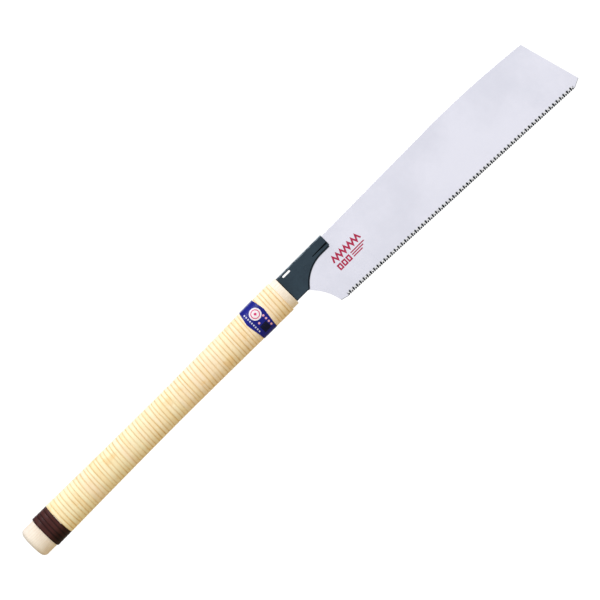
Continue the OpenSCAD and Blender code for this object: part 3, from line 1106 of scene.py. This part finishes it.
def toothing_tree():
    """A Geometry Nodes tree that stands two kinds of tooth along a line in turn."""
    tree, given = geometry_tree("toothed_edge", {
        "Start": "Vector", "Step": "Vector", "Count": "Int", "Tilt": "Float", "Left Tooth": "Object",
        "Right Tooth": "Object", "Finish": "Material", "Seed": "Int"})
    line = add(tree, "GeometryNodeMeshLine", mode="OFFSET", Count=given["Count"],
               Start_Location=given["Start"], Offset=given["Step"]).outputs[0]
    pair = add(tree, "GeometryNodeJoinGeometry")
    for tooth in ("Left Tooth", "Right Tooth"):
        seen = add(tree, "GeometryNodeObjectInfo", Object=given[tooth]).outputs["Geometry"]
        kept = add(tree, "GeometryNodeGeometryToInstance", seen).outputs[0]
        tree.links.new(kept, pair.inputs[0])
    number = add(tree, "GeometryNodeInputIndex").outputs[0]
    turned = add(tree, "FunctionNodeEulerToRotation", vector(tree, 0.0, given["Tilt"], 0.0)).outputs[0]
    teeth = add(tree, "GeometryNodeInstanceOnPoints", Points=line, Instance=pair.outputs[0],
                Pick_Instance=True, Instance_Index=calc(tree, "MODULO", number, 2.0),
                Rotation=turned).outputs[0]
    chance = add(tree, "FunctionNodeRandomValue", Seed=given["Seed"]).outputs[1]
    close_tree(tree, stored(tree, teeth, "tint", chance, "INSTANCE"), given["Finish"])
    return tree


teeth = run_tree("saw_teeth", toothing_tree(), {
    "Start": TIPS_FROM + gullet, "Step": TOOTH_PITCH * edge_along, "Count": TOOTH_COUNT,
    "Tilt": EDGE_TILT, "Left Tooth": left_tooth, "Right Tooth": right_tooth, "Finish": blade_steel,
    "Seed": 5})
bpy.data.objects.remove(left_tooth)
bpy.data.objects.remove(right_tooth)
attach(teeth, "blade")
report(teeth)

# %% [markdown]
# ## The printed marks
# The blade carries a few red marks. They are plain ones here, a zigzag like a row of teeth above three
# open boxes and some lines. They are a film of ink a few hundredths of a millimetre thick, so that their
# edges stay crisp at any distance. ribbon() turns a bent line into the outline of a stroke.

# %% The ink, and its strokes
INK_THICK = 0.03 * MM

ink, tree, shader = finish("red_blade_ink", Specular_IOR_Level=0.4)
thin_ink = use(tree, cloud_group, Vector=place(tree), Scale=300.0, Mottle=0.8)
put(tree, shader["Base Color"], mix(tree, thin_ink, (0.34, 0.002, 0.045), (0.44, 0.008, 0.075)))
put(tree, shader["Roughness"], spread(tree, thin_ink, 0.0, 1.0, 0.42, 0.55))
put(tree, shader["Normal"], bump(tree, thin_ink, 0.1, 0.04 * MM))


def ribbon(points, width):
    """The outline of a stroke of this width along a bent line, with mitred corners."""
    points = [Vector(p) for p in points]
    ways = [(b - a).normalized() for a, b in zip(points, points[1:])]
    left, right = [], []
    for i, point in enumerate(points):
        before, after = ways[max(i - 1, 0)], ways[min(i, len(ways) - 1)]
        normal = Vector((-(before + after).y, (before + after).x)).normalized()
        reach = width / 2 / normal.dot(Vector((-before.y, before.x)))
        left.append(point + normal * reach)
        right.append(point - normal * reach)
    return left + right[::-1]


print("ink finish:", ink.name)

# %% Print the blade
MARK_X, MARK_Z = face_x + 51 * MM, -6.9 * MM
# The rest are in millimetres, from that corner of the marks.
ZIGZAG_X, ZIGZAG_STEP, ZIGZAG_POINTS, ZIGZAG_WIDE = 0.6, 2.55, 15, 1.8
ZIGZAG_LOW, ZIGZAG_HIGH = -7, -1.4
LINE_FROM, LINE_TO, LINE_SHORTER = 18.5, 36.5, 3
LINE_Z, LINE_STEP, LINE_WIDE = -10.9, 2.3, 1.2
BOX_LOW, BOX_HIGH, BOX_WIDE, BOX_STEP, BOX_WALL = -16.6, -10.2, 4.9, 5.8, 1.6

zigzag = [(ZIGZAG_X + ZIGZAG_STEP * i, ZIGZAG_HIGH if i % 2 else ZIGZAG_LOW) for i in range(ZIGZAG_POINTS)]
outlines = [ribbon(zigzag, ZIGZAG_WIDE)]
for i in range(3):
    z = LINE_Z - LINE_STEP * i
    outlines.append(ribbon([(LINE_FROM, z), (LINE_TO - LINE_SHORTER * i, z)], LINE_WIDE))
for i in range(3):
    for inset in (0, BOX_WALL):
        low, high = BOX_LOW + inset, BOX_HIGH - inset
        near, far = BOX_STEP * i + inset, BOX_STEP * i + BOX_WIDE - inset
        outlines.append([(near, low), (far, low), (far, high), (near, high)])
outlines = [[(MARK_X + x * MM, MARK_Z + z * MM) for x, z in outline] for outline in outlines]
marks = plate("blade_marks", outlines, INK_THICK, 0.0, ink, y=blade_low.y - INK_THICK / 2)
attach(marks, "blade")
report(marks)

# %% [markdown]
# ## The rivet and the hidden steel
# The hook pin is a rivet, dressed flush with the cheeks and painted with them, so that only a shallow
# dish and a fine ring show. It is a turned shape, so it is spun from half a profile. The tang plate and
# its two cross pins keep their CAD meshes, which are right as they are, and get plated steel.

# %% Turn the rivet
# Half of its profile, from its rim inwards, as radius and depth below the cheek in millimetres.
DISHED = [(2.0, 0.0), (1.84, 0.0), (1.6, 0.06), (1.1, 0.09), (0.6, 0.12)]
CHEEK_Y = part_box("blade_holder")[1].y
PIN_SIDES = 48
profile = [(radius * MM, CHEEK_Y - sunk * MM) for radius, sunk in DISHED]
half_rings = [(radius, -y) for radius, y in reversed(profile)] + profile


def pin_ring(radius, y):
    """A ring of points round the pin's axis."""
    turns = (math.tau * i / PIN_SIDES for i in range(PIN_SIDES))
    return [Vector((pin_at.x + radius * math.cos(a), y, pin_at.z + radius * math.sin(a))) for a in turns]


rivet = loft("hook_rivet", [pin_ring(radius, y) for radius, y in half_rings], holder_paint)
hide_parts("hook_pin")
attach(rivet, "handle")
report(rivet)

# %% Plate the hidden steel
HIDDEN_STEEL = ("tang_plate", "tang_pins")
for node in HIDDEN_STEEL:
    for material_slot in frame["nodes"][node].material_slots:
        material_slot.material = tang_steel
print("plated:", *HIDDEN_STEEL)

# %% [markdown]
# ## Floor, light and camera
# The saw hangs over a plain pale floor under soft studio light, high enough for the blade to swing. The
# key light is large, above and in front, so the top of the round handle is bright and its underside falls
# away. A satin blade shows what it faces, so the room that lights it is brighter behind the camera than
# behind the saw. The camera itself sees a plain white room and a floor that is mostly glow, which keeps
# the background clean, while the saw sees warm paper below it.

# %% The pale floor
FLOOR_HALF = 6.0
FLOOR_CLEAR = 5 * MM
SWING_MOST = math.radians(frame["joints"][0]["range_deg"][1])
to_toe = TOE_LOW - pin_at
floor_z = pin_at.z - to_toe.length * math.sin(SWING_MOST - math.atan2(to_toe.z, to_toe.x)) - FLOOR_CLEAR
corners = [(x * FLOOR_HALF, y * FLOOR_HALF, floor_z) for x, y in ((-1, -1), (1, -1), (1, 1), (-1, 1))]
floor_mesh = bpy.data.meshes.new("floor")
floor_mesh.from_pydata(corners, [], [(0, 1, 2, 3)])

# The share of the glow in what a ray sees: fixed for the camera, and at low angles for a mirrored ray
CAMERA_GLOW, MIRRORED_GLOW = 0.75, 0.86
floor_paper, tree, shader = finish("pale_floor", Base_Color=(0.54, 0.44, 0.27, 1), Roughness=0.9)
glow = add(tree, "ShaderNodeEmission", Strength=1.3)
ray = add(tree, "ShaderNodeLightPath").outputs
grazing = add(tree, "ShaderNodeLayerWeight", Blend=0.5).outputs["Facing"]
mirrored = product(tree, ray["Is Glossy Ray"], spread(tree, grazing, 0.3, 0.8, 0.0, MIRRORED_GLOW))
looked_at = product(tree, ray["Is Camera Ray"], CAMERA_GLOW)
seen = calc(tree, "ADD", looked_at, mirrored, clamp=True)
shown = add(tree, "ShaderNodeMixShader", seen, tree.nodes["Principled BSDF"].outputs[0], glow.outputs[0])
tree.links.new(shown.outputs[0], tree.nodes["Material Output"].inputs[0])
floor = new_piece("floor", floor_mesh, floor_paper)
print(f"floor {(blade_low.z - floor_z) / MM:.0f} mm below the blade at rest")

# %% The room's light
# Rays that light the saw see a room that is brighter behind the camera and toward the toe.
ROOM_DIM, ROOM_BRIGHT, ROOM_TO_TOE = 0.50, 1.05, 0.45
world = bpy.data.worlds.new("studio")
bpy.context.scene.world = world
world.use_nodes = True
tree = world.node_tree
room = tree.nodes["Background"]
room.inputs["Color"].default_value = (0.98, 0.985, 1.0, 1)
way = xyz(tree, add(tree, "ShaderNodeTexCoord").outputs["Generated"])
front = spread(tree, way[1], 0.0, -0.9, ROOM_DIM, ROOM_BRIGHT)
put(tree, room.inputs["Strength"], calc(tree, "MULTIPLY_ADD", way[0], ROOM_TO_TOE, front))
backdrop = add(tree, "ShaderNodeBackground", (1, 1, 1, 1), 1.1)
shown = add(tree, "ShaderNodeMixShader", add(tree, "ShaderNodeLightPath").outputs["Is Camera Ray"],
            room.outputs[0], backdrop.outputs[0])
tree.links.new(shown.outputs[0], tree.nodes["World Output"].inputs[0])
print("room:", world.name)

# %% The two soft panels
middle_of_saw = Vector(((butt_x + blade_high.x) / 2, 0, (blade_low.z + wrap_high.z) / 2))


def soft_panel(name, at, size, watts, colour=(1, 1, 1)):
    """A square area light that faces the saw."""
    light = bpy.data.lights.new(name, "AREA")
    light.size, light.energy, light.color = size, watts, colour
    panel = new_object(name, light)
    panel.location = at
    panel.rotation_euler = (middle_of_saw - Vector(at)).to_track_quat("-Z", "Y").to_euler()
    return panel


panels = [soft_panel("key", (0.35, -1.25, 1.9), 1.0, 31, (0.97, 0.99, 1.06)),
          soft_panel("back_fill", (0.3, 2.4, 1.6), 1.6, 14)]
bpy.context.scene.view_settings.view_transform = "Standard"
print("panels:", [panel.name for panel in panels])

# %% The camera
# It looks straight at the flat of the saw, rolled so that the handle comes up from the lower left.
CAMERA_AWAY = 2.36
FRAME_WIDE = 581.6 * MM
SENSOR = 36
aim = Vector((face_x + 2.65 * MM, 0, -15.4 * MM))
right = Vector((1, 0, -1)).normalized()
up = Vector((1, 0, 1)).normalized()
camera_data = bpy.data.cameras.new("camera")
camera_data.sensor_width = SENSOR
camera_data.lens = SENSOR * CAMERA_AWAY / FRAME_WIDE
camera = new_object("camera", camera_data)
turn = Matrix((right, up, right.cross(up))).transposed().to_4x4()
camera.matrix_world = Matrix.Translation(aim - Vector((0, CAMERA_AWAY, 0))) @ turn
bpy.context.scene.camera = camera
print("camera lens:", round(camera_data.lens, 1), "mm")
